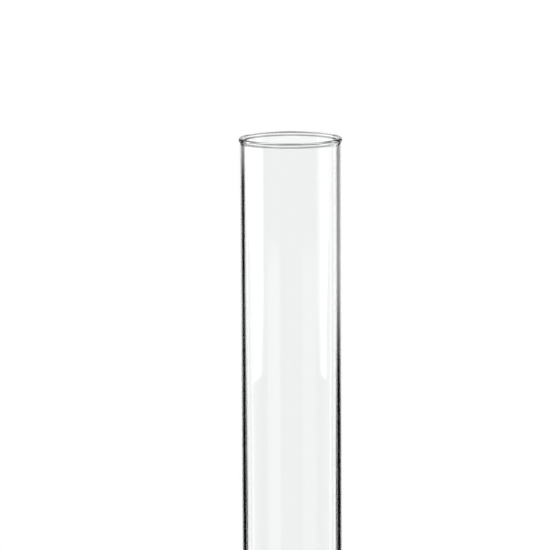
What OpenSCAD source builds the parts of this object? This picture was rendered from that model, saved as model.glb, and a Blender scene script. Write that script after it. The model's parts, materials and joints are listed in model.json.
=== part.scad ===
// Liebig condenser with an exchangeable vapour tube.
// A plain glass tube with a wide open top runs down through a glass water jacket. Two screw
// caps with sealing rings hold it there, and two more caps hold the bent hose connectors
// that lead the cooling water in and out.
// The origin is on the tube's axis, half way up the jacket. +Z points up the axis.

/* [Vapour tube] */
// Outside diameter of the wide top
top_od = 24; // [20:0.5:26]
// Wall thickness of the wide top
top_wall = 0.9; // [0.8:0.1:1.5]
// Radius of the fire-polished bead on the rim
bead_r = 0.6; // [0.5:0.01:0.85]
// Length of the wide top above its shoulder
top_len = 120; // [60:1:160]
// Outside radius of the round above the shoulder
top_round = 9; // [8:0.5:9]
// Outside radius of the hollow below the shoulder
top_hollow = 8; // [6:0.5:9]
// Outside diameter of the stem
stem_od = 10; // [9.5:0.1:10]
// Wall thickness of the stem
stem_wall = 1; // [0.8:0.1:1.2]
// Bare stem between the upper cap and the shoulder
stem_above = 20; // [18:1:40]
// Bare stem below the lower cap, down to the drip point
stem_below = 90; // [30:1:150]
// Angle of the bevelled drip point
drip_angle = 45; // [30:1:60]

/* [Water jacket] */
// Length of the jacket over both threaded necks
jacket_len = 250; // [200:5:400]
// Outside diameter of the jacket
jacket_od = 32; // [28:0.5:34]
// Wall thickness of the jacket
jacket_wall = 1.4; // [1.4:0.1:1.8]
// Outside radius of the round at each shoulder
jacket_round = 6; // [5:0.5:6.5]
// Outside radius of the hollow between shoulder and neck
jacket_hollow = 2; // [1.5:0.5:3]
// Length of each threaded neck
neck_len = 20; // [19:1:26]
// Bore of each neck
neck_bore = 12; // [11.5:0.1:12.5]
// Height of each side arm above or below the jacket's middle
arm_z = 78; // [40:1:80]
// Reach of each side arm from the jacket's axis
arm_reach = 37; // [36:0.5:45]
// Bore of each side arm
arm_bore = 9.4; // [8:0.1:9.6]

/* [Screw caps] */
// Outside diameter of the neck caps
neck_cap_od = 24; // [23.5:0.5:27]
// Height of the neck caps
neck_cap_h = 19; // [18:0.5:20]
// Outside diameter of the arm caps
arm_cap_od = 20; // [19.5:0.5:23]
// Height of the arm caps
arm_cap_h = 17; // [15:0.5:18]
// Grip flutes around each cap
flutes = 30; // [18:1:36]
// Radius of one grip flute
flute_r = 0.6; // [0.4:0.1:0.7]

/* [Seals] */
// Thickness of the neck seals
seal_h = 4; // [3:0.5:5]
// Gap between a neck seal and the stem
seal_gap = 0.05; // [0.02:0.01:0.1]
// Thickness of the arm washers
washer_h = 1.5; // [1:0.5:2]

/* [Hose connectors] */
// Outside diameter of the connector's pipe
pipe_od = 9; // [8:0.1:9]
// Bore of the connector
pipe_bore = 5; // [4.2:0.1:5]
// Radius of the bend, at the middle of the pipe
bend_r = 9; // [8:0.5:12]
// Diameter of the widest barb
barb_od = 10; // [9.5:0.1:11]
// Length of the cylindrical land on the widest barb
barb_land = 3; // [2:0.5:4]

/* [Hidden] */
$fn = 96;

// Overshoot of a cut past the solid that it opens
cut = 1;
// Steps of a thread's helix in one turn
thread_steps = 24;
// Depth to which a thread is rooted in its wall
thread_root = 0.4;
// Share of a turn over which a thread runs out at each end
run_out = 0.2;
// Height at which a thread's ends sink into the wall, as a share of its full height
end_height = 0.1;

// Neck thread: radii of its root and crest, pitch, turns, and the height at which it starts
neck_r = 8;
neck_crest = 9;
neck_pitch = 3;
neck_turns = 2.25;
neck_start = -9;
// Arm thread, in the same terms
arm_r = 6.1;
arm_crest = 7;
arm_pitch = 2.5;
arm_turns = 2;
arm_start = -7.5;
// A cap's thread stands clear of the glass thread by this much, and has this many turns
thread_gap = 0.35;
cap_turns = 2;
// Widths of a glass thread and of a cap's thread, at the root and at the crest
glass_thread = [1.6, 0.7];
cap_thread = [1.4, 0.5];

// Thickness of a cap's top, and the round on its outer edge
cap_top = 2.5;
cap_edge = 1;
// Radii of the holes in the caps
neck_aperture_r = 5.5;
arm_aperture_r = 4.85;
// Neck seal: its radius, and the height and inset of its lip
seal_r = 8.3;
seal_lip = 0.6;
seal_inset = 1.2;
// Flange of a hose connector, and the bore of the washer under it
flange_h = 1.5;
flange_r = 6;
washer_bore_r = 3;
// Straight pipe between the cap and the bend, and between the bend and the barbs
pipe_ahead = 4;
pipe_below = 7;
// Barbs of a connector: how many, the length of each cone, and how much smaller each one is
barb_count = 3;
barb_cone = 4;
barb_step = 0.45;

top_r = top_od / 2;
stem_r = stem_od / 2;
jacket_r = jacket_od / 2;
neck_end = jacket_len / 2;
cap_end = neck_end + seal_h + cap_top;
shoulder_low = cap_end + stem_above;
shoulder_high = shoulder_low + blend_height(top_r, stem_r, top_round, top_hollow);
rim_z = shoulder_high + top_len;
drip_z = -cap_end - stem_below;
body_end = neck_end - neck_len - blend_height(jacket_r, neck_r, jacket_round, jacket_hollow);
barbs_len = barb_count * (barb_land + barb_cone);

// Height of a shoulder whose round and hollow touch each other without a corner
function blend_height(wide, narrow, round_r, hollow_r) =
    sqrt(pow(round_r + hollow_r, 2) - pow(narrow + hollow_r - wide + round_r, 2));

// Half outline of a wide tube that narrows at height 0 and goes on as a thin one.
// It reaches the axis, so one outline less another leaves the wall between them.
module shoulder_outline(wide, narrow, round_r, hollow_r, wide_len, narrow_len) {
    height = blend_height(wide, narrow, round_r, hollow_r);
    translate([0, -wide_len]) square([wide, wide_len]);
    square([narrow, height + narrow_len]);
    intersection() {
        translate([wide - round_r, 0]) circle(round_r);
        square([wide, round_r]);
    }
    difference() {
        polygon([[0, 0], [wide - round_r, 0], [narrow + hollow_r, height], [0, height]]);
        translate([narrow + hollow_r, height]) circle(hollow_r);
    }
}

// A helical ridge that rises with a right-hand turn, from height 0 at angle 0.
// from_r is the wall that it stands on. A crest_r below it makes an inside thread.
module thread(from_r, crest_r, pitch, turns, widths) {
    out = sign(crest_r - from_r);
    foot = from_r - out * thread_root;
    steps = round(turns * thread_steps);
    ends = run_out * thread_steps;
    points = [
        for (i = [0:steps])
        let (
            turn = i / thread_steps,
            rise = min(1, i / ends, (steps - i) / ends),
            crest = foot + (crest_r - foot) * (end_height + (1 - end_height) * rise),
            section = [
                [foot, -widths[0] / 2], [crest, -widths[1] / 2],
                [crest, widths[1] / 2], [foot, widths[0] / 2]
            ]
        )
        for (p = section)
        [p.x * cos(360 * turn), p.x * sin(360 * turn), p.y + pitch * turn]
    ];
    sides = [
        for (i = [0:steps - 1], k = [0:3])
        let (a = 4 * i + k, b = 4 * i + (k + 1) % 4)
        each [[a, b, b + 4], [a, b + 4, a + 4]]
    ];
    first = [[0, 2, 1], [0, 3, 2]];
    last = [for (t = first) [for (v = [t[0], t[2], t[1]]) v + 4 * steps]];
    faces = concat(sides, first, last);
    polyhedron(points, out > 0 ? faces : [for (f = faces) [f[0], f[2], f[1]]]);
}

// A ring with its lower face at height 0
module ring(outer_r, inner_r, height) {
    difference() {
        cylinder(h = height, r = outer_r);
        translate([0, 0, -cut]) cylinder(h = height + 2 * cut, r = inner_r);
    }
}

// Stands its children on the end of the upper or the lower neck
module at_neck(side) {
    rotate([side > 0 ? 0 : 180, 0, 0]) translate([0, 0, neck_end]) children();
}

// Stands its children on the end of the side arm: the outlet is up at -X, the inlet down at +X
module at_arm(side) {
    translate([-side * arm_reach, 0, side * arm_z]) rotate([0, -side * 90, 0]) children();
}

// A fluted screw cap over a threaded glass end whose face is at height 0.
// stack is the height of what the cap clamps onto that face.
module screw_cap(outer_r, height, stack, crest_r, root_r, aperture_r, pitch, start) {
    bore_r = crest_r + thread_gap;
    foot_z = stack + cap_top - height;
    difference() {
        translate([0, 0, foot_z]) rotate_extrude() {
            square([outer_r - cap_edge, height]);
            square([outer_r, height - cap_edge]);
            translate([outer_r - cap_edge, height - cap_edge]) circle(cap_edge);
        }
        translate([0, 0, foot_z - cut]) linear_extrude(height + 2 * cut)
            for (i = [0:flutes - 1])
                rotate(360 * i / flutes) translate([outer_r + flute_r / 3, 0]) circle(flute_r);
        translate([0, 0, foot_z - cut]) cylinder(h = height - cap_top + cut, r = bore_r);
        cylinder(h = stack + cap_top + cut, r = aperture_r);
    }
    translate([0, 0, start - pitch / 2])
        thread(bore_r, root_r + thread_gap, pitch, cap_turns, cap_thread);
}

module neck_cap() {
    screw_cap(neck_cap_od / 2, neck_cap_h, seal_h, neck_crest, neck_r, neck_aperture_r,
        neck_pitch, neck_start);
}

module arm_cap() {
    screw_cap(arm_cap_od / 2, arm_cap_h, washer_h + flange_h, arm_crest, arm_r, arm_aperture_r,
        arm_pitch, arm_start);
}

// Sealing ring with a lip that stands up inside the cap
module neck_seal() {
    ring(seal_r, stem_r + seal_gap, seal_h - seal_lip);
    ring(seal_r - seal_inset, stem_r + seal_gap, seal_h);
}

// Pipe along +Z from a flange at height 0, then a quarter bend towards +X and the barbs
module hose_connector() {
    bend_z = flange_h + cap_top + pipe_ahead;
    difference() {
        union() {
            cylinder(h = flange_h, r = flange_r);
            cylinder(h = bend_z, r = pipe_od / 2);
            translate([bend_r, 0, bend_z]) bend(pipe_od / 2);
            translate([bend_r, 0, bend_z + bend_r]) rotate([0, 90, 0]) {
                cylinder(h = pipe_below, r = pipe_od / 2);
                translate([0, 0, pipe_below]) barbs();
            }
        }
        translate([0, 0, -cut]) cylinder(h = bend_z + cut, r = pipe_bore / 2);
        translate([bend_r, 0, bend_z]) bend(pipe_bore / 2);
        translate([bend_r, 0, bend_z + bend_r]) rotate([0, 90, 0])
            cylinder(h = pipe_below + barbs_len + cut, r = pipe_bore / 2);
    }
}

// A quarter turn of round bar about the origin, from its -X side up to its +Z side
module bend(bar_r) {
    rotate([90, 0, 0]) rotate(90) rotate_extrude(angle = 90) translate([bend_r, 0]) circle(bar_r);
}

// Barbs along +Z, the widest first, each with a land and a cone towards the tip
module barbs() {
    for (i = [0:barb_count - 1]) {
        crest = barb_od / 2 - i * barb_step;
        translate([0, 0, i * (barb_land + barb_cone)]) {
            cylinder(h = barb_land, r = crest);
            translate([0, 0, barb_land])
                cylinder(h = barb_cone, r1 = crest, r2 = crest - 2 * barb_step);
        }
    }
}

module inner_tube() {
    inner_r = top_r - top_wall;
    stem_len = shoulder_low - drip_z;
    tip = stem_r * tan(drip_angle);
    bevel = 3 * stem_od;
    color("azure", 0.35) difference() {
        rotate_extrude() {
            translate([0, shoulder_high]) mirror([0, 1]) difference() {
                shoulder_outline(top_r, stem_r, top_round, top_hollow, top_len - bead_r, stem_len);
                shoulder_outline(inner_r, stem_r - stem_wall, top_round - top_wall,
                    top_hollow + stem_wall, top_len, stem_len + cut);
            }
            translate([inner_r + bead_r, rim_z - bead_r]) circle(bead_r);
        }
        translate([0, 0, drip_z + tip]) rotate([0, drip_angle, 0])
            translate([0, 0, -bevel / 2]) cube(bevel, center = true);
    }
}

module jacket() {
    bore_r = jacket_r - jacket_wall;
    arm_len = arm_reach - bore_r / 2;
    color("azure", 0.35) difference() {
        union() {
            rotate_extrude() jacket_outline(jacket_r, neck_r, jacket_round, jacket_hollow, 0);
            for (side = [1, -1]) {
                at_neck(side) translate([0, 0, neck_start])
                    thread(neck_r, neck_crest, neck_pitch, neck_turns, glass_thread);
                at_arm(side) {
                    translate([0, 0, -arm_len]) cylinder(h = arm_len, r = arm_r);
                    translate([0, 0, arm_start])
                        thread(arm_r, arm_crest, arm_pitch, arm_turns, glass_thread);
                }
            }
        }
        rotate_extrude() jacket_outline(bore_r, neck_bore / 2, jacket_round - jacket_wall,
            jacket_hollow + neck_r - neck_bore / 2, cut);
        for (side = [1, -1])
            at_arm(side) translate([0, 0, -arm_len])
                cylinder(h = arm_len + cut, r = arm_bore / 2);
    }
}

// Half outline of the whole jacket, with over added to each end
module jacket_outline(body_r, end_r, round_r, hollow_r, over) {
    height = blend_height(body_r, end_r, round_r, hollow_r);
    for (side = [0, 1])
        mirror([0, side]) translate([0, body_end])
            shoulder_outline(body_r, end_r, round_r, hollow_r, body_end,
                neck_end - body_end - height + over);
}

module upper_seal() { color("ivory") at_neck(1) neck_seal(); }
module lower_seal() { color("ivory") at_neck(-1) neck_seal(); }
module upper_cap() { color("royalblue") at_neck(1) neck_cap(); }
module lower_cap() { color("royalblue") at_neck(-1) neck_cap(); }

module outlet_washer() { color("ivory") at_arm(1) ring(flange_r, washer_bore_r, washer_h); }
module inlet_washer() { color("ivory") at_arm(-1) ring(flange_r, washer_bore_r, washer_h); }
module outlet_cap() { color("royalblue") at_arm(1) arm_cap(); }
module inlet_cap() { color("royalblue") at_arm(-1) arm_cap(); }

// The inlet and the outlet connector both hang down from their arms
module outlet_connector() {
    color("whitesmoke") at_arm(1) translate([0, 0, washer_h]) rotate(180) hose_connector();
}

module inlet_connector() {
    color("whitesmoke") at_arm(-1) translate([0, 0, washer_h]) hose_connector();
}

inner_tube();
jacket();
upper_seal();
upper_cap();
lower_seal();
lower_cap();
outlet_washer();
outlet_connector();
outlet_cap();
inlet_washer();
inlet_connector();
inlet_cap();
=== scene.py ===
"""Liebig condenser: glass, caps, seals and hose connectors, in a studio for clear glass."""

import json
import math

import bmesh
import bpy
from mathutils import Matrix, Vector


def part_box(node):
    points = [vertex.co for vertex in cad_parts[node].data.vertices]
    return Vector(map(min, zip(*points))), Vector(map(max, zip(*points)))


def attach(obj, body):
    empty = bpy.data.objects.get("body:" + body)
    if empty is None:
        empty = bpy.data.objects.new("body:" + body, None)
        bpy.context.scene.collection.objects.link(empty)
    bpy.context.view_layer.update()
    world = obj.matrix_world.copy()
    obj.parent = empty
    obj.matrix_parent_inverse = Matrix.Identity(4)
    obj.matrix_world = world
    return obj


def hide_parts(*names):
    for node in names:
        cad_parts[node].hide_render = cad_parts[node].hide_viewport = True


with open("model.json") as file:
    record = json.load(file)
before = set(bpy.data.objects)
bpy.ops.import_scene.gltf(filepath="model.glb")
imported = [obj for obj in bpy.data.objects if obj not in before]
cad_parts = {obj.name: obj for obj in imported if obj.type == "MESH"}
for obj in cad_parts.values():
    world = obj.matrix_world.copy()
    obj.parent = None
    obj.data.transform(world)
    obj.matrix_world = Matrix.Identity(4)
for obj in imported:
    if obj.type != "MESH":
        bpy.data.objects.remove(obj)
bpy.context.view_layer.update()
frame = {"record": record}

MM = 0.001

# Outside radii and walls of the glass, in millimetres
TOP_R, TOP_WALL = 12, 0.9
STEM_R, STEM_WALL = 5, 1
TOP_ROUND, TOP_HOLLOW = 9, 8
DRIP_ANGLE = math.radians(45)
JACKET_R, JACKET_WALL = 16, 1.4
JACKET_ROUND, JACKET_HOLLOW = 6, 2
NECK_R, NECK_BORE_R, NECK_LEN = 8, 6, 20
ARM_R, ARM_BORE_R = 6.1, 4.7
# How far an arm's root spreads over the jacket, outside and inside
ROOT_OUT, ROOT_IN = 2.6, 1.3
# Rounds on the glass ends, and the height of one row of a thread's mesh
NECK_LIP, NECK_THREAD_ROW = 0.5, 0.2
ARM_LIP, ARM_THREAD_ROW = 0.4, 0.18

# Caps: outside radius, thickness of the top, radius of its hole, and the height clamped under it
NECK_CAP = dict(outer=12, top=2.5, hole=5.5, stack=4)
ARM_CAP = dict(outer=10, top=2.5, hole=4.85, stack=3)
FLUTES, FLUTE_DEPTH, FLUTE_WIDTH = 30, 0.42, 0.62

# Threads: wall they stand on, crest, pitch, turns, height where they start, width at the wall
NECK_THREAD = dict(root=8, crest=9, pitch=3, turns=2.25, start=-9, width=1.9)
ARM_THREAD = dict(root=6.1, crest=7, pitch=2.5, turns=2, start=-7.5, width=1.6)
NECK_CAP_THREAD = dict(root=9.35, crest=8.35, pitch=3, turns=2, start=-10.5, width=1.5)
ARM_CAP_THREAD = dict(root=7.35, crest=6.45, pitch=2.5, turns=2, start=-8.75, width=1.3)

# Hose connector: flange, pipe and barbs
FLANGE_R, FLANGE_H, WASHER_H, WASHER_GAP, WASHER_BORE_R = 6, 1.5, 1.5, 0.03, 3
PIPE_R, PIPE_BORE_R, PIPE_AHEAD, PIPE_BELOW, BEND_R = 4.5, 2.5, 4, 7, 9
BARBS, BARB_R, BARB_LAND, BARB_CONE, BARB_STEP = 3, 5, 3, 4, 0.45

# Neck seal: bore, foot and the lip that stands up inside the cap's hole
SEAL_BORE_R, SEAL_FOOT_R, SEAL_FOOT_H, SEAL_LIP_R, SEAL_H = 5.05, 8.3, 3.4, 7.1, 4

# Points around the rubber and plastic pieces
ROUND_COUNT = 96


def low_high(node):
    """The lowest and highest corner of a CAD node, in millimetres."""
    low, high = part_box(node)
    return low / MM, high / MM


# ---------------------------------------------------------------- mesh building


class Skin:
    """A mesh made of rings of points, joined by quads. Sizes are in millimetres."""

    def __init__(self):
        self.points = []
        self.faces = []

    def ring(self, points, place=None):
        start = len(self.points)
        self.points.extend(place @ Vector(p) if place else p for p in points)
        return list(range(start, len(self.points)))

    def join(self, a, b):
        for i in range(len(a)):
            k = (i + 1) % len(a)
            self.faces.append((a[i], a[k], b[k], b[i]))

    def chain(self, rings, closed=False):
        for a, b in zip(rings, rings[1:]):
            self.join(a, b)
        if closed:
            self.join(rings[-1], rings[0])

    def lathe(self, outline, count, place=None, radius_at=None, closed=True):
        """Turns an outline of (radius, height) points about the local Z axis."""
        rings = [self.ring(circle(r, z, count, radius_at), place) for r, z in outline]
        self.chain(rings, closed)
        return rings

    def piece(self, name, body, node, material, sharp=None):
        """Turns the rings into a piece that rides on a body and stands for a CAD node."""
        mesh = bpy.data.meshes.new(name)
        mesh.from_pydata([tuple(c * MM for c in p) for p in self.points], [], self.faces)
        work = bmesh.new()
        work.from_mesh(mesh)
        bmesh.ops.delete(work, geom=[v for v in work.verts if not v.link_faces], context="VERTS")
        bmesh.ops.recalc_face_normals(work, faces=work.faces)
        work.to_mesh(mesh)
        work.free()
        obj = bpy.data.objects.new(name, mesh)
        bpy.context.scene.collection.objects.link(obj)
        mesh.shade_smooth()
        if sharp is not None:
            mesh.set_sharp_from_angle(angle=math.radians(sharp))
        mesh.materials.append(material)
        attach(obj, body)
        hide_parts(node)
        return obj


def arc(centre, radius, start, end, steps):
    """Points on an arc in the (radius, height) plane. Angles are in degrees."""
    turns = [math.radians(start + (end - start) * i / steps) for i in range(steps + 1)]
    return [(centre[0] + radius * math.cos(a), centre[1] + radius * math.sin(a)) for a in turns]


def rounded(corners, steps=5):
    """A closed outline through (radius, height, round) corners, each rounded off by its radius."""
    outline = []
    for i, (r, z, size) in enumerate(corners):
        here = Vector((r, z))
        before = Vector(corners[i - 1][:2]) - here
        after = Vector(corners[(i + 1) % len(corners)][:2]) - here
        if size == 0:
            outline.append((r, z))
            continue
        half = before.angle(after) / 2
        reach = size / math.tan(half)
        a, b = before.normalized(), after.normalized()
        centre = here + (a + b).normalized() * (size / math.sin(half))
        start, end = here + a * reach - centre, here + b * reach - centre
        swing = start.angle_signed(end)
        for k in range(steps + 1):
            turn = Matrix.Rotation(-swing * k / steps, 2)
            outline.append(tuple(centre + turn @ start))
    return outline


def shoulder_height(wide, narrow, round_r, hollow_r):
    """How far a shoulder rises from the wide tube's end to the narrow tube's start."""
    return math.sqrt((round_r + hollow_r) ** 2 - (narrow + hollow_r - wide + round_r) ** 2)


def shoulder(wide, narrow, round_r, hollow_r, steps=14):
    """Outline of a shoulder, from height 0 on the wide tube up to the narrow one."""
    rise = shoulder_height(wide, narrow, round_r, hollow_r)
    a, b = (wide - round_r, 0), (narrow + hollow_r, rise)
    turn = math.degrees(math.atan2(b[1] - a[1], b[0] - a[0]))
    return arc(a, round_r, 0, turn, steps) + arc(b, hollow_r, 180 + turn, 180, steps)[1:]


def circle(radius, height, count, radius_at=None):
    """A ring about the Z axis. radius_at(angle, height), if given, adds to the radius."""
    points = []
    for i in range(count):
        a = 2 * math.pi * i / count
        r = radius + (radius_at(a, height) if radius_at else 0)
        points.append((r * math.cos(a), r * math.sin(a), height))
    return points


def thread_height(thread):
    """A right-hand thread's height above its wall, as a function of angle and height."""
    size = thread["crest"] - thread["root"]
    fading = 0.25  # of a turn, at each end

    def height(angle, z):
        part = (angle / (2 * math.pi)) % 1
        nearest = round((z - thread["start"]) / thread["pitch"] - part)
        along = nearest + part
        if not 0 < along < thread["turns"]:
            return 0
        off = abs(z - thread["start"] - thread["pitch"] * along) / (thread["width"] / 2)
        if off >= 1:
            return 0
        bump = min(1, 1.35 * math.cos(math.pi / 2 * off) ** 2)
        fade = min(1, along / fading, (thread["turns"] - along) / fading)
        return size * bump * math.sin(math.pi / 2 * fade)

    return height


def heights(low, high, step):
    """Heights from low to high, about step apart."""
    count = max(1, math.ceil(abs(high - low) / step))
    return [low + (high - low) * i / count for i in range(count + 1)]


# ---------------------------------------------------------------- materials


class Nodes:
    """Short names for making a node tree."""

    def __init__(self, tree):
        self.tree = tree
        tree.nodes.clear()

    def add(self, kind, inputs=None, **settings):
        node = self.tree.nodes.new(kind)
        for key, value in settings.items():
            setattr(node, key, value)
        for key, value in (inputs or {}).items():
            self.put(node.inputs[key], value)
        return node

    def put(self, socket, value):
        if isinstance(value, bpy.types.NodeSocket):
            self.tree.links.new(value, socket)
        else:
            socket.default_value = value

    def math(self, operation, *values):
        node = self.add("ShaderNodeMath", operation=operation)
        for socket, value in zip(node.inputs, values):
            self.put(socket, value)
        return node.outputs[0]

    def step(self, value, low, high, from_value=0.0, to_value=1.0):
        """A smooth step of value between low and high."""
        node = self.add("ShaderNodeMapRange", interpolation_type="SMOOTHSTEP")
        for name, v in (("Value", value), ("From Min", low), ("From Max", high),
                        ("To Min", from_value), ("To Max", to_value)):
            self.put(node.inputs[name], v)
        return node.outputs["Result"]

    def mix(self, factor, a, b):
        node = self.add("ShaderNodeMix", data_type="FLOAT")
        for i, value in ((0, factor), (2, a), (3, b)):
            self.put(node.inputs[i], value)
        return node.outputs[0]

    def noise(self, place, scale, detail):
        node = self.add("ShaderNodeTexNoise", {"Vector": place, "Scale": scale, "Detail": detail})
        return node.outputs[0]

    def bump(self, height, strength):
        """A bump of up to 0.2 mm."""
        node = self.add(
            "ShaderNodeBump", {"Height": height, "Strength": strength, "Distance": 0.2 * MM})
        return node.outputs[0]


def new_material(name):
    material = bpy.data.materials.new(name)
    material.use_nodes = True
    return material, Nodes(material.node_tree)


def glass(name, tint):
    """Clear drawn glass, with faint draw lines along the tube."""
    material, n = new_material(name)
    place = n.add("ShaderNodeTexCoord").outputs["Object"]
    stretched = n.add("ShaderNodeMapping", {"Vector": place, "Scale": (260, 260, 9)})
    lines = n.noise(stretched.outputs[0], 1.0, 2.0)
    bump = n.bump(lines, 0.02)
    shader = n.add("ShaderNodeBsdfPrincipled", {
        "Base Color": (*tint, 1),
        "Roughness": 0.0,
        "IOR": 1.473,
        "Transmission Weight": 1.0,
        "Normal": bump,
    })
    n.add("ShaderNodeOutputMaterial", {"Surface": shader.outputs[0]})
    return material


def plastic(name, color, dark, roughness, grain, soft):
    """Moulded plastic: a mottled colour, a fine grain and a little light under the surface."""
    material, n = new_material(name)
    place = n.add("ShaderNodeTexCoord").outputs["Object"]
    mottle = n.noise(place, 120.0, 4.0)
    grit = n.noise(place, grain, 3.0)
    ramp = n.add("ShaderNodeMix", {"Factor": mottle}, data_type="RGBA")
    ramp.inputs[6].default_value = (*dark, 1)
    ramp.inputs[7].default_value = (*color, 1)
    rough = n.step(grit, 0.3, 0.7, roughness - 0.06, roughness + 0.08)
    shader = n.add("ShaderNodeBsdfPrincipled", {
        "Base Color": ramp.outputs[2],
        "Roughness": rough,
        "IOR": 1.49,
        "Subsurface Weight": soft,
        "Subsurface Scale": 0.002,
        "Subsurface Radius": (1.0, 0.9, 0.8),
        "Normal": n.bump(grit, 0.18),
    })
    n.add("ShaderNodeOutputMaterial", {"Surface": shader.outputs[0]})
    return material


TUBE_GLASS = glass("tube_glass", (0.985, 0.992, 0.992))
JACKET_GLASS = glass("jacket_glass", (0.985, 0.992, 0.992))
CAP_PLASTIC = plastic("cap_plastic", (0.02, 0.13, 0.47), (0.013, 0.085, 0.36), 0.34, 900.0, 0.08)
CONNECTOR_PLASTIC = plastic(
    "connector_plastic", (0.84, 0.85, 0.83), (0.74, 0.76, 0.74), 0.38, 700.0, 0.35)
SILICONE = plastic("seal_silicone", (0.82, 0.80, 0.74), (0.70, 0.68, 0.62), 0.55, 1100.0, 0.3)

# ---------------------------------------------------------------- where things are

JACKET_HIGH = low_high("jacket")[1]
NECK_END = JACKET_HIGH.z
ARM_REACH = JACKET_HIGH.x
ARM_Z = sum(c.z for c in low_high("outlet_washer")) / 2


def at_neck(side):
    """Places things on the end of the upper or the lower neck."""
    turn = Matrix.Rotation(0 if side > 0 else math.pi, 4, "X")
    return turn @ Matrix.Translation((0, 0, NECK_END))


def at_arm(side):
    """Places things on the end of a side arm: the outlet is up at -X, the inlet down at +X."""
    turn = Matrix.Rotation(-side * math.pi / 2, 4, "Y")
    return Matrix.Translation((-side * ARM_REACH, 0, side * ARM_Z)) @ turn


# ---------------------------------------------------------------- the vapour tube


def vapour_tube():
    """The wide beaded top, the shoulder, the stem and the bevelled drip point, as one wall."""
    around = 384
    low, high = low_high("inner_tube")
    inner_r = TOP_R - TOP_WALL
    bead = (high.x - inner_r) / 2
    opening = frame["record"]["mounts"][0]
    shoulder_z = opening["pos_m"][2] / MM - opening["dims"]["length_mm"]
    outer = [(r, shoulder_z - z) for r, z in shoulder(TOP_R, STEM_R, TOP_ROUND, TOP_HOLLOW)]
    inner = [(r, shoulder_z - z) for r, z in shoulder(
        inner_r, STEM_R - STEM_WALL, TOP_ROUND - TOP_WALL, TOP_HOLLOW + STEM_WALL)]
    rim = arc((inner_r + bead, high.z - bead), bead, 180, -42, 34)
    under = rim[-1][1]
    # a short hollow leads from the bead to the straight tube
    neck = [(TOP_R + 0.06, under - 0.13), (TOP_R + 0.02, under - 0.25), (TOP_R, under - 0.4)]
    # rings close to the ends of each long straight stretch keep its shading straight
    guard = 0.5
    neck += [(TOP_R, under - 0.5), (TOP_R, under - 0.5 - guard), (TOP_R, shoulder_z + guard)]
    bore = [(inner_r, shoulder_z + guard), (inner_r, high.z - bead - guard)]
    tip_z = low.z + STEM_R * math.tan(DRIP_ANGLE)
    # the stem is straight down to 3 mm above the bevel
    above_tip = tip_z + STEM_R * math.tan(DRIP_ANGLE) + 3
    stem = [outer[-1][1] - guard, above_tip + guard, above_tip]
    stem_out = [(STEM_R, z) for z in stem]
    stem_in = [(STEM_R - STEM_WALL, z) for z in stem[::-1]]
    skin = Skin()
    rings = skin.lathe(
        stem_in + inner[::-1] + bore + rim + neck + outer + stem_out,
        around, closed=False)

    # the drip point leans with its bevel, and its edge is rounded over the wall
    edge = arc((STEM_R - STEM_WALL / 2, 0), STEM_WALL / 2, 0, -180, 10)
    leaning = []
    for r, sink in edge:
        points = [
            (x, y, tip_z - x * math.tan(DRIP_ANGLE) + STEM_WALL / 2 + sink)
            for x, y, _ in circle(r, 0, around)
        ]
        leaning.append(skin.ring(points))
    skin.chain([rings[-1]] + leaning + [rings[0]])
    return skin.piece("vapour_tube", "tube", "inner_tube", TUBE_GLASS)


# ---------------------------------------------------------------- the water jacket

AROUND = 128
ARM_ROWS = AROUND // 4


def jacket_wall(skin, wall_r, hole_r, blend, rows_outside):
    """A tube wall about the Z axis with a blended hole for each arm.

    Gives its rings from low to high, and for each side the ring where its arm starts."""
    half = wall_r * math.pi / 4
    spans = [(-ARM_Z - half, -ARM_Z + half), (ARM_Z - half, ARM_Z + half)]
    rows = heights(-rows_outside, spans[0][0], 3)[:-1]
    first = len(rows)
    rows += heights(*spans[0], 2 * half / ARM_ROWS)[:-1]
    rows += heights(spans[0][1], spans[1][0], 10)[:-1]
    second = len(rows)
    rows += heights(*spans[1], 2 * half / ARM_ROWS)[:-1] + heights(spans[1][1], rows_outside, 3)
    rings = [skin.ring(circle(wall_r, z, AROUND)) for z in rows]
    starts = {}
    for i, (a, b) in enumerate(zip(rings, rings[1:])):
        side = -1 if first <= i < first + ARM_ROWS else 1 if second <= i < second + ARM_ROWS else 0
        for k in range(AROUND):
            n = (k + 1) % AROUND
            from_arm = (k - (0 if side < 0 else AROUND // 2) + ARM_ROWS // 2) % AROUND
            if side == 0 or from_arm >= ARM_ROWS:
                skin.faces.append((a[k], a[n], b[n], b[k]))
    for side, start in ((-1, first), (1, second)):
        gap = rings[start:start + ARM_ROWS + 1]
        starts[side] = arm_root(skin, gap, side, wall_r, hole_r, blend)
    return rings, starts


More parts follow.
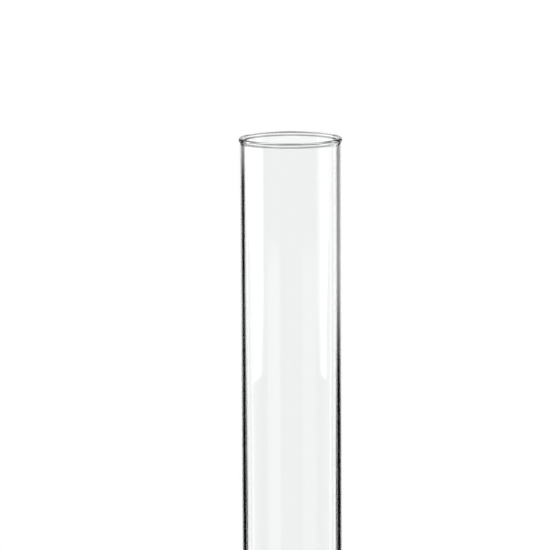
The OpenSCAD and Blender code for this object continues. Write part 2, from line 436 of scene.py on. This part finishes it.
def arm_root(skin, rings, side, wall_r, hole_r, blend):
    """Fills the square gap that was left in a wall, round to the ring where the arm starts."""
    centre = 0 if side < 0 else AROUND // 2
    half = ARM_ROWS // 2
    # the gap's edge, from its corner, in the order in which the arm's own angle grows
    path = [(half, -half + i) for i in range(ARM_ROWS)]
    path += [(half - i, half) for i in range(ARM_ROWS)]
    path += [(-half, half - i) for i in range(ARM_ROWS)]
    path += [(-half + i, -half) for i in range(ARM_ROWS)]
    edge, shell_count, root_count = [], 7, 9
    shells = [[] for _ in range(shell_count)]
    root = [[] for _ in range(root_count)]
    for i, (up, across) in enumerate(path):
        # up is along the arm's local X, across along its local Y
        column = (centre - side * across) % AROUND
        edge.append(rings[half + side * up][column])
        turn = math.radians(-45 + 90 * i / ARM_ROWS)
        cos, sin = math.cos(turn), math.sin(turn)
        flat = Vector((up, across)) * (wall_r * 2 * math.pi / AROUND)
        wide = hole_r + blend
        hole = Vector((wide * cos, wall_r * math.asin(wide * sin / wall_r)))
        for k in range(shell_count):
            p = flat.lerp(hole, (k + 1) / shell_count)
            angle = p.y / wall_r
            shells[k].append((
                -side * wall_r * math.cos(angle), wall_r * math.sin(angle), side * (ARM_Z + p.x)))
        # the blend between the wall and the arm
        reach = math.sqrt(wall_r ** 2 - (hole_r * sin) ** 2)
        corner = Vector((-side * reach, hole_r * sin, side * (ARM_Z + hole_r * cos)))
        on_wall = Vector(shells[-1][-1])
        on_arm = corner + Vector((-side * blend, 0, 0))
        for k in range(root_count):
            t = (k + 1) / root_count
            root[k].append(on_wall * (1 - t) ** 2 + corner * 2 * t * (1 - t) + on_arm * t ** 2)
    made = [edge] + [skin.ring(points) for points in shells + root]
    skin.chain(made)
    return made[-1]


def water_jacket():
    """The jacket's body, shoulders, threaded necks and threaded side arms, as one wall."""
    skin = Skin()
    inner_r = JACKET_R - JACKET_WALL
    rise = shoulder_height(JACKET_R, NECK_R, JACKET_ROUND, JACKET_HOLLOW)
    body_end = NECK_END - NECK_LEN - rise
    neck_thread, arm_thread = thread_height(NECK_THREAD), thread_height(ARM_THREAD)

    outer, outer_arms = jacket_wall(skin, JACKET_R, ARM_R, ROOT_OUT, body_end)
    inner, inner_arms = jacket_wall(skin, inner_r, ARM_BORE_R, ROOT_IN, body_end)

    # the shoulders, necks and their ends, from the outer wall round to the inner one
    out_shoulder = shoulder(JACKET_R, NECK_R, JACKET_ROUND, JACKET_HOLLOW)[1:]
    in_shoulder = shoulder(
        inner_r, NECK_BORE_R, JACKET_ROUND - JACKET_WALL, JACKET_HOLLOW + NECK_R - NECK_BORE_R)[1:]
    lift = body_end - NECK_END
    lip = arc((NECK_R - NECK_LIP, -NECK_LIP), NECK_LIP, 0, 90, 5)
    lip += arc((NECK_BORE_R + NECK_LIP, -NECK_LIP), NECK_LIP, 90, 180, 5)
    ends = [(r, z + lift) for r, z in out_shoulder]
    ends += [(NECK_R, z) for z in heights(ends[-1][1], -NECK_LIP, NECK_THREAD_ROW)[1:-1]] + lip
    ends += [(r, z + lift) for r, z in in_shoulder[::-1]]
    for side, out_ring, in_ring in ((1, outer[-1], inner[-1]), (-1, outer[0], inner[0])):
        rings = []
        for r, z in ends:
            points = circle(r, z, AROUND, neck_thread if r == NECK_R else None)
            if side < 0:
                # the lower end's local frame is turned over, so its angles run the other way
                points = [points[-k % AROUND] for k in range(AROUND)]
            rings.append(skin.ring(points, at_neck(side)))
        skin.chain([out_ring] + rings + [in_ring])

    # the arms, from the outer root round to the inner one
    out_start = JACKET_R + ROOT_OUT - ARM_REACH
    in_start = inner_r + ROOT_IN - ARM_REACH
    plain_end = ARM_THREAD["start"] - 2
    lip = arc((ARM_R - ARM_LIP, -ARM_LIP), ARM_LIP, 0, 90, 4)
    lip += arc((ARM_BORE_R + ARM_LIP, -ARM_LIP), ARM_LIP, 90, 180, 4)
    tube = [(ARM_R, z) for z in heights(out_start, plain_end, 2)[1:]]
    tube += [(ARM_R, z) for z in heights(plain_end, -ARM_LIP, ARM_THREAD_ROW)[1:-1]] + lip
    tube += [(ARM_BORE_R, z) for z in heights(-ARM_LIP, in_start, 3)[1:-1]]
    for side in (1, -1):
        rings = []
        for r, z in tube:
            points = []
            for i in range(AROUND):
                a = math.radians(-45 + 360 * i / AROUND)
                radius = r + (arm_thread(a, z) if r == ARM_R else 0)
                points.append((radius * math.cos(a), radius * math.sin(a), z))
            rings.append(skin.ring(points, at_arm(side)))
        skin.chain([outer_arms[side]] + rings + [inner_arms[side]])
    return skin.piece("water_jacket", "jacket", "jacket", JACKET_GLASS)


# ---------------------------------------------------------------- caps, seals and connectors


def screw_cap(name, node, place, sizes, thread):
    """A fluted screw cap over a threaded glass end whose face is at height 0."""
    outer, hole = sizes["outer"], sizes["hole"]
    under, top = sizes["stack"], sizes["stack"] + sizes["top"]
    foot = top - cap_height(node)
    bore = thread["root"]
    around = FLUTES * 12
    inside = thread_height(thread)
    foot_round, top_round, hole_round, mouth, corner = 0.35, 1.1, 0.35, 0.45, 0.3

    def flutes(angle, z):
        """The grip grooves, which fade out before the foot and the top."""
        across = abs(math.remainder(angle * FLUTES / (2 * math.pi), 1)) * 2
        groove = 0.5 + 0.5 * math.cos(math.pi * min(1, across / FLUTE_WIDTH))
        ends = min(1, max(0, (z - foot - 1.0) / 0.7)) * min(1, max(0, (top - 1.5 - z) / 0.8))
        return -FLUTE_DEPTH * groove * ends * ends * (3 - 2 * ends)

    side = heights(foot + foot_round, top - top_round, 0.4)
    outline = [(bore + mouth, foot)]
    outline += arc((outer - foot_round, foot + foot_round), foot_round, -90, 0, 4)
    outline += [(outer, z) for z in side[1:-1]]
    outline += arc((outer - top_round, top - top_round), top_round, 0, 90, 7)
    outline += arc((hole + hole_round, top - hole_round), hole_round, 90, 180, 4)
    outline += [(hole, under), (bore - corner, under), (bore, under - corner)]
    outline += [(bore, z) for z in heights(under - corner, foot + mouth, 0.2)[1:]]
    skin = Skin()
    rings = []
    for r, z in outline:
        change = flutes if r == outer else inside if r == bore else None
        rings.append(skin.ring(circle(r, z, around, change), place))
    skin.chain(rings, closed=True)
    return skin.piece(name, node, node, CAP_PLASTIC, sharp=50)


def cap_height(node):
    """A cap's height is its size along its own axis."""
    low, high = low_high(node)
    return high.z - low.z if node in ("upper_cap", "lower_cap") else high.x - low.x


def neck_seal(name, node, place):
    """A sealing ring with a lip that stands up inside the cap."""
    outline = rounded([
        (SEAL_BORE_R, 0, 0.25), (SEAL_FOOT_R, 0, 0.3), (SEAL_FOOT_R, SEAL_FOOT_H, 0.3),
        (SEAL_LIP_R, SEAL_FOOT_H, 0.15), (SEAL_LIP_R, SEAL_H, 0.25), (SEAL_BORE_R, SEAL_H, 0.25)])
    skin = Skin()
    skin.lathe(outline, ROUND_COUNT, place)
    return skin.piece(name, node, node, SILICONE)


def washer(name, node, place):
    """A flat washer under a connector's flange, which turns just clear of it."""
    top = WASHER_H - WASHER_GAP
    outline = rounded([
        (WASHER_BORE_R, 0, 0.2), (FLANGE_R, 0, 0.25),
        (FLANGE_R, top, 0.25), (WASHER_BORE_R, top, 0.2)])
    skin = Skin()
    skin.lathe(outline, ROUND_COUNT, place)
    return skin.piece(name, node, node, SILICONE)


def hose_connector(name, node, place):
    """A pipe from a flange, through a quarter bend, to the barbs that a hose is pushed over."""
    straight = FLANGE_H + NECK_CAP["top"] + PIPE_AHEAD
    bend = BEND_R * math.pi / 2
    barbs = straight + bend + PIPE_BELOW
    end = barbs + BARBS * (BARB_LAND + BARB_CONE)

    def frame_at(s):
        """The pipe's middle and its two cross directions, s along it."""
        a = min(max((s - straight) / BEND_R, 0), math.pi / 2)
        past = max(0, s - straight - bend)
        middle = Vector((
            BEND_R * (1 - math.cos(a)) + past, 0, min(s, straight) + BEND_R * math.sin(a)))
        return middle, Vector((math.cos(a), 0, -math.sin(a))), Vector((0, 1, 0))

    root, tip_round, edge_round, land_round = 0.5, 0.3, 0.2, 0.6
    outline = rounded([
        (PIPE_BORE_R, 0, 0.3), (FLANGE_R, 0, 0.25),
        (FLANGE_R, FLANGE_H, 0.3), (PIPE_R, FLANGE_H, 0)], 4)
    outline = outline[:-1] + arc((PIPE_R + root, FLANGE_H + root), root, 270, 180, 4)
    outline += [(PIPE_R, s) for s in heights(FLANGE_H + root, straight, 2)[1:]]
    outline += [(PIPE_R, s) for s in heights(straight, straight + bend, 0.5)[1:]]
    outline += [(PIPE_R, s) for s in heights(straight + bend, barbs - 0.35, 2)[1:]]
    for i in range(BARBS):
        crest = BARB_R - i * BARB_STEP
        start = barbs + i * (BARB_LAND + BARB_CONE)
        below = PIPE_R if i == 0 else crest - BARB_STEP
        outline.append((below, start))
        outline += arc((crest - edge_round, start + edge_round), edge_round, -90, 0, 3)
        outline += arc((crest - land_round, start + BARB_LAND - 0.1), land_round, 0, 12, 3)
        last = crest - 2 * BARB_STEP
        outline += [(last, start + BARB_LAND + BARB_CONE)] if i < BARBS - 1 else []
    tip = BARB_R - (BARBS - 1) * BARB_STEP - 2 * BARB_STEP
    outline += arc((tip - tip_round, end - tip_round), tip_round, 15, 90, 4)
    outline += arc((PIPE_BORE_R + tip_round, end - tip_round), tip_round, 90, 180, 4)
    outline += [(PIPE_BORE_R, s) for s in heights(end - tip_round, straight + bend, 4)[1:]]
    outline += [(PIPE_BORE_R, s) for s in heights(straight + bend, straight, 0.8)[1:]]
    outline += [(PIPE_BORE_R, s) for s in heights(straight, 0.3, 3)[1:-1]]
    skin = Skin()
    rings = []
    for r, s in outline:
        middle, across, aside = frame_at(s)
        points = [middle + across * x + aside * y for x, y, _ in circle(r, 0, ROUND_COUNT)]
        rings.append(skin.ring(points, place))
    skin.chain(rings, closed=True)
    return skin.piece(name, node, node, CONNECTOR_PLASTIC, sharp=40)


vapour_tube()
water_jacket()
for side, end in ((1, "upper"), (-1, "lower")):
    neck_seal(end + "_sealing_ring", end + "_seal", at_neck(side))
    screw_cap(end + "_screw_cap", end + "_cap", at_neck(side), NECK_CAP, NECK_CAP_THREAD)
for side, end in ((1, "outlet"), (-1, "inlet")):
    hanging = Matrix.Rotation(math.pi if side > 0 else 0, 4, "Z")
    on_washer = at_arm(side) @ Matrix.Translation((0, 0, WASHER_H)) @ hanging
    washer(end + "_flat_washer", end + "_washer", at_arm(side))
    hose_connector(end + "_hose_barb", end + "_connector", on_washer)
    screw_cap(end + "_screw_cap", end + "_cap", at_arm(side), ARM_CAP, ARM_CAP_THREAD)


# ---------------------------------------------------------------- the studio


def camera():
    """A long lens that looks down on the open top from the front."""
    down, roll, distance = math.radians(9.5), math.radians(-0.29), 0.827
    below_rim, left = 0.03256, 0.0038
    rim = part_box("inner_tube")[1].z
    forward = Vector((0, math.cos(down), -math.sin(down)))
    up = Vector((0, math.sin(down), math.cos(down)))
    data = bpy.data.cameras.new("camera")
    data.lens, data.sensor_width = 229, 36
    data.clip_start, data.clip_end = 0.05, 50
    obj = bpy.data.objects.new("camera", data)
    bpy.context.scene.collection.objects.link(obj)
    obj.location = Vector((-left, 0, rim)) - up * below_rim - forward * distance
    turn = Matrix.Rotation(math.pi / 2 - down, 4, "X") @ Matrix.Rotation(roll, 4, "Z")
    obj.rotation_euler = turn.to_euler()
    bpy.context.scene.camera = obj


def floor():
    """A pale disc under the drip point, that fades out before its edge."""
    gap = 0.5
    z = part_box("inner_tube")[0].z / MM - gap
    skin = Skin()
    radii = (5, 60, 120, 200, 300, 450)
    rings = [skin.ring(circle(r, z, ROUND_COUNT)) for r in radii]
    skin.chain(rings)
    skin.faces.append(tuple(rings[0]))
    mesh = bpy.data.meshes.new("floor")
    mesh.from_pydata([tuple(c * MM for c in p) for p in skin.points], [], skin.faces)
    obj = bpy.data.objects.new("floor", mesh)
    bpy.context.scene.collection.objects.link(obj)
    material, n = new_material("pale_floor")
    place = n.add("ShaderNodeTexCoord").outputs["Object"]
    away = n.add("ShaderNodeVectorMath", {0: place}, operation="LENGTH").outputs["Value"]
    grain = n.noise(place, 900.0, 3.0)
    paint = n.add(
        "ShaderNodeBsdfDiffuse", {"Color": (0.9, 0.9, 0.9, 1), "Normal": n.bump(grain, 0.05)})
    clear = n.add("ShaderNodeBsdfTransparent")
    # away is measured from the origin in metres, which is 0.22 above the disc
    fade = n.step(away, 0.05, 0.4)
    mixed = n.add("ShaderNodeMixShader", {0: fade, 1: paint.outputs[0], 2: clear.outputs[0]})
    n.add("ShaderNodeOutputMaterial", {"Surface": mixed.outputs[0]})
    mesh.materials.append(material)


# Heights in degrees over which a zone of the studio gives way to the zone above it
DEEP_END = (-34.0, -30.0)
LOW_END = (-17.0, -15.0)
PHOTOGRAPHED_END = (-7.15, -7.05)
LEVEL_END = (2.0, 5.0)

WHITE, DARK, BOX_LIGHT = 1.0, 0.04, 6.0


def studio_world():
    """A studio for clear glass: a white wall, dark flags beside it, and a soft box on each side.

    The eye and matt surfaces see only white. Glass sees the wall, the flags and the boxes. The
    wall is there again at other heights, for the other sides that the object is looked at from.
    A turn is 0 degrees behind the object and grows to the left. A rise is 0 at eye level."""
    world = bpy.data.worlds.new("studio")
    bpy.context.scene.world = world
    world.use_nodes = True
    n = Nodes(world.node_tree)
    texture = n.add("ShaderNodeTexCoord").outputs["Generated"]
    way = n.add("ShaderNodeSeparateXYZ", {0: texture}).outputs
    turn = n.math("DEGREES", n.math("ARCTAN2", n.math("MULTIPLY", way[0], -1.0), way[1]))
    rise = n.math("DEGREES", n.math("ARCSINE", way[2]))
    aside = n.math("ABSOLUTE", turn)
    left = n.math("GREATER_THAN", turn, 0.0)
    ray = n.add("ShaderNodeLightPath").outputs

    def most(a, b):
        return n.math("MAXIMUM", a, b)

    def plus(a, b):
        return n.math("ADD", a, b)

    def minus(a, b):
        return n.math("SUBTRACT", a, b)

    def times(a, b):
        return n.math("MULTIPLY", a, b)

    def wall(centre, edge, soft, span=180.0):
        """1 within edge degrees of a centre, again at every 2 * span degrees."""
        off = n.math("ABSOLUTE", n.math("WRAP", minus(turn, centre), span, -span))
        return n.step(minus(off, edge), -soft, soft, 1.0, 0.0)

    def soft_box(near, far):
        """A box between two turns. Its lower edge slants by 1 degree in 200."""
        inside = times(n.step(minus(aside, near), -1.5, 1.5),
                       n.step(minus(aside, far), -1.5, 1.5, 1.0, 0.0))
        low = plus(times(aside, 0.005), -11.65)
        return times(inside, n.step(minus(rise, low), -0.08, 0.08))

    # the photographed side: the wall, the flags, the room beside them and the boxes
    edge = n.step(rise, -13.2, -9.6, 15.5, 19.5)
    left_flag = n.step(rise, -8.1, -7.2, 0.004, 0.3)
    right_flag = n.step(rise, -11.2, -9.2, 0.004, 0.32)
    flag = n.mix(left, right_flag, left_flag)
    flag = times(flag, n.step(rise, -6.9, -6.2, 1.0, n.mix(left, 0.5, 0.02)))
    past_flag = minus(aside, n.step(rise, -12.5, -10.0, 54.0, 50.0))
    room = times(n.step(aside, 56.0, 112.0, 0.84, 0.2), n.step(past_flag, 3.0, 15.0, 2.6, 1.0))
    beside = n.mix(n.step(past_flag, 0.0, 3.5), flag, room)
    middle = n.mix(wall(0.0, edge, 1.0), beside, WHITE)
    back = times(wall(225.0, 18.0, 6.0), n.step(rise, -9.5, -8.5, 1.0, 0.0))
    left_box = soft_box(
        n.step(rise, -9.8, -8.2, 82.0, 58.0), n.step(rise, -11.2, -9.8, 104.0, 112.0))
    right_box = soft_box(
        n.step(rise, -10.7, -8.0, 92.0, 84.0), n.step(rise, -11.2, -9.8, 106.0, 109.0))
    boxes = times(n.mix(left, right_box, left_box), BOX_LIGHT)

    # the other heights: from above, level, from below, and steeply down, as only the rim shows
    quarters = wall(0.0, 18.0, 3.0, 45.0)
    grey_top = n.mix(quarters, DARK, 0.42)
    level = n.mix(quarters, DARK, WHITE)
    low = n.mix(wall(45.0, 18.0, 3.0, 45.0), n.mix(wall(0.0, 12.0, 3.0), 0.05, 0.3), WHITE)
    low_boxes = times(wall(135.0, 12.0, 1.5, 90.0), 3.5)
    deep = n.mix(wall(0.0, 12.0, 3.0), n.step(aside, 28.0, 36.0, 1.5, 0.05), 0.4)
    low = n.mix(n.step(rise, *DEEP_END), deep, low)

    def stacked(below, photographed, sides, above):
        """Puts the heights of the studio over each other."""
        light = n.mix(n.step(rise, *PHOTOGRAPHED_END), photographed, sides)
        light = n.mix(n.step(rise, *LEVEL_END), light, above)
        return n.mix(n.step(rise, *LOW_END), below, light)

    lit = plus(middle, boxes)
    shine = stacked(plus(low, low_boxes), lit, level, plus(middle, times(boxes, 0.5)))
    faint = times(boxes, 0.2)
    through = stacked(low, most(most(middle, back), faint), level, most(grey_top, faint))

    light = n.step(rise, -60.0, 60.0, 0.45, 1.05)
    light = n.mix(ray["Is Camera Ray"], light, WHITE)
    light = n.mix(ray["Is Glossy Ray"], light, shine)
    light = n.mix(ray["Is Transmission Ray"], light, through)
    background = n.add("ShaderNodeBackground", {"Color": (1, 1, 1, 1), "Strength": light})
    n.add("ShaderNodeOutputWorld", {"Surface": background.outputs[0]})


camera()
floor()
studio_world()
bpy.context.scene.view_settings.view_transform = "Standard"
bpy.context.scene.view_settings.look = "None"
